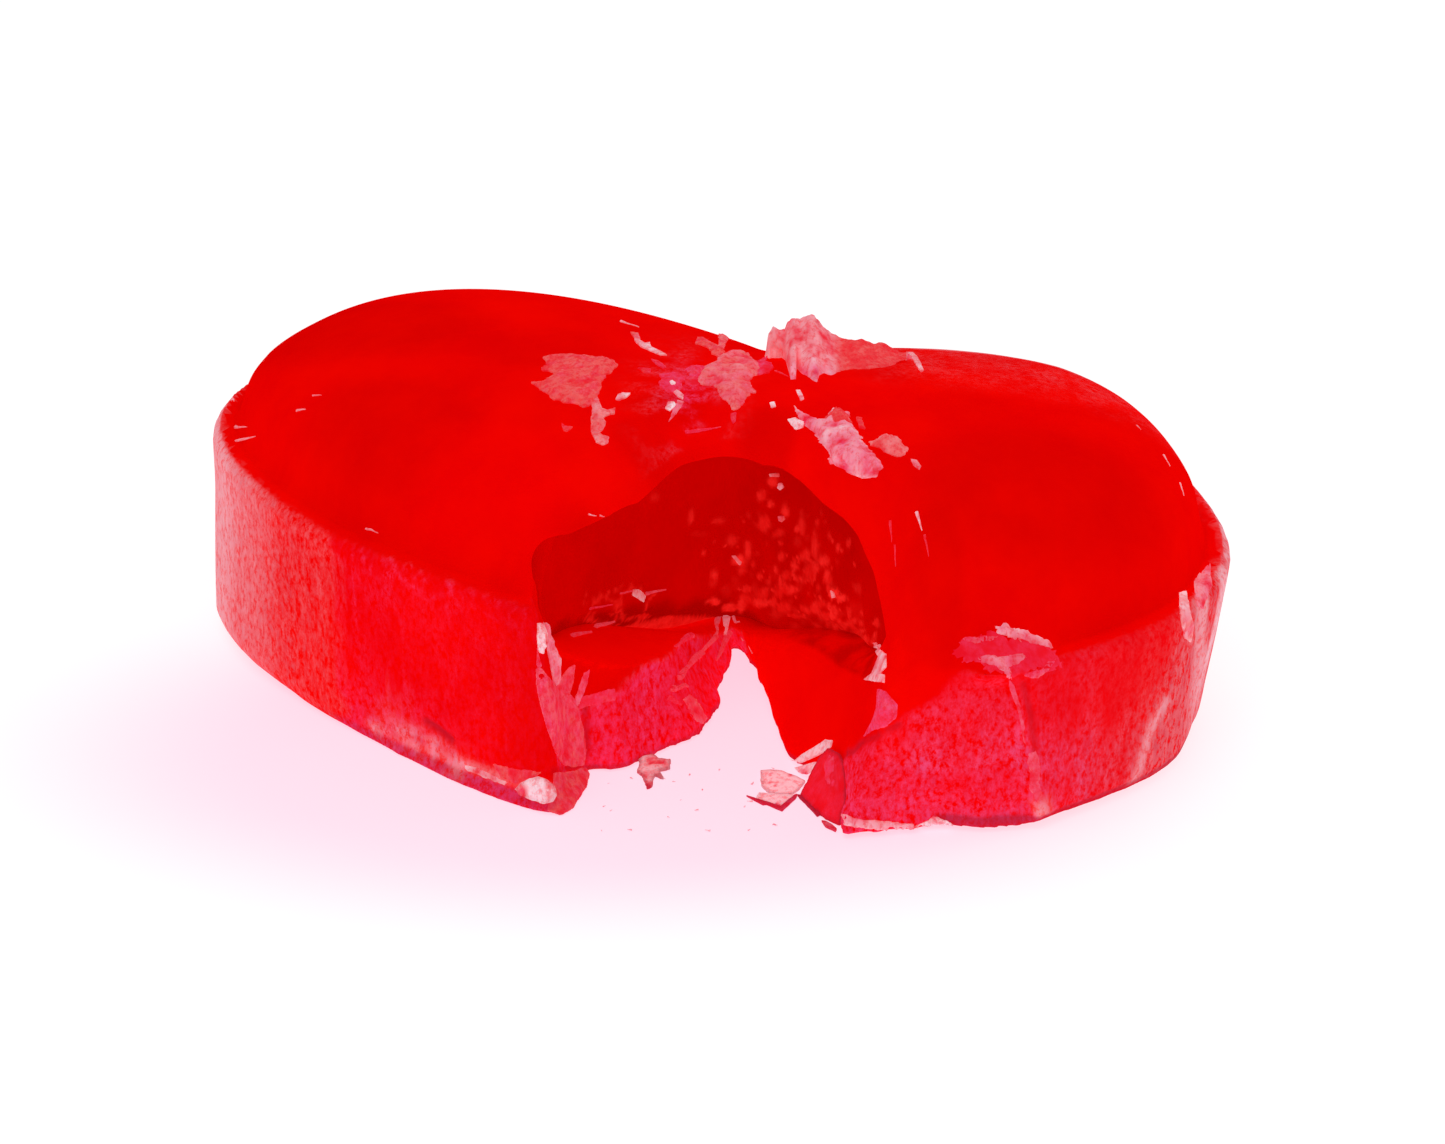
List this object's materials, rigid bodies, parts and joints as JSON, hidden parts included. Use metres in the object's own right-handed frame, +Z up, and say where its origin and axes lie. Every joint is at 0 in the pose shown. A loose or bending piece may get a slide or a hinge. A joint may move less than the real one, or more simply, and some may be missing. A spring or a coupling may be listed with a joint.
{
  "type": "filled hard candy",
  "caption": "Oval boiled sweet with a straight side and a low dome, cracked open from the front into hinged lobes so that its filling shows in the arch behind the notch.",
  "frame": {"origin": "centre of the footprint's box, on the surface that the candy lies on", "axes": "+X from the left lobe to the right one, -Y towards the broken side, +Z up"},
  "size_m": [0.0328, 0.0232, 0.0119],
  "materials": {
    "candy_shell": "clear saturated red boiled sugar, glossy on the dome, frosted on the side wall and on the break",
    "candy_filling": "darker red glassy filling with small bubbles"
  },
  "bodies": {
    "root": {"shell": "candy_shell", "filling": "candy_filling"}
  },
  "joints": []
}
